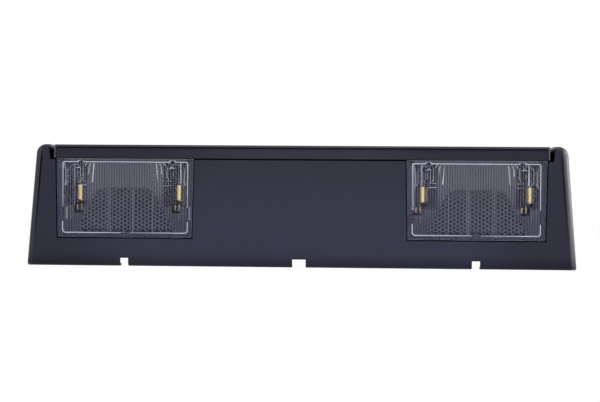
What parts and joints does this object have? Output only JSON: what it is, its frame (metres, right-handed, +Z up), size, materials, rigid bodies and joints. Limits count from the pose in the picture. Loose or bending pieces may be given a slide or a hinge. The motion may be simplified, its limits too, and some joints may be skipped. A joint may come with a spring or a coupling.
{
  "type": "licence plate light bar",
  "caption": "Long black licence plate light bar with two clear rectangular lenses, small brass-based bulbs behind them and notches in its lower edge.",
  "frame": {"origin": "middle of the foot print, on the lower edge that the bar stands on", "axes": "+X along the bar, to the right seen from its lit side; the lenses look along -Y and the mounting face along +Y; +Z up"},
  "size_m": [0.5396, 0.048, 0.12],
  "materials": {
    "cover_plastic": "fine-grained black ABS with a soft sheen",
    "housing_plastic": "fine-grained black ABS",
    "base_plastic": "dull black moulding",
    "clear_plastic": "clear, with flutes and a honeycomb moulded on the inside",
    "black_rubber": "dull foam rubber",
    "spring_brass": "stamped and slightly dull",
    "cap_brass": "drawn and polished",
    "bulb_glass": "clear blown glass",
    "filament_wire": "drawn wire",
    "zinc_steel": "bright zinc plate"
  },
  "bodies": {
    "root": {"front_cover": "cover_plastic", "rear_housing": "housing_plastic", "left_lens": "clear_plastic", "right_lens": "clear_plastic", "left_lens_gasket": "black_rubber", "right_lens_gasket": "black_rubber", "left_lamp_base": "base_plastic", "right_lamp_base": "base_plastic", "left_base_screws": "zinc_steel", "right_base_screws": "zinc_steel", "bulb_1_glass": "bulb_glass", "bulb_2_glass": "bulb_glass", "bulb_3_glass": "bulb_glass", "bulb_4_glass": "bulb_glass", "bulb_1_cap": "cap_brass", "bulb_2_cap": "cap_brass", "bulb_3_cap": "cap_brass", "bulb_4_cap": "cap_brass", "bulb_1_filament": "filament_wire", "bulb_2_filament": "filament_wire", "bulb_3_filament": "filament_wire", "bulb_4_filament": "filament_wire", "socket_1": "spring_brass", "socket_2": "spring_brass", "socket_3": "spring_brass", "socket_4": "spring_brass", "contact_spring_1": "spring_brass", "contact_spring_2": "spring_brass", "contact_spring_3": "spring_brass", "contact_spring_4": "spring_brass", "feed_rail": "spring_brass", "earth_rail": "spring_brass", "feed_pin": "spring_brass", "earth_pin": "spring_brass", "cover_screws": "zinc_steel", "mount_inserts": "spring_brass", "rear_seal": "black_rubber"}
  },
  "joints": []
}
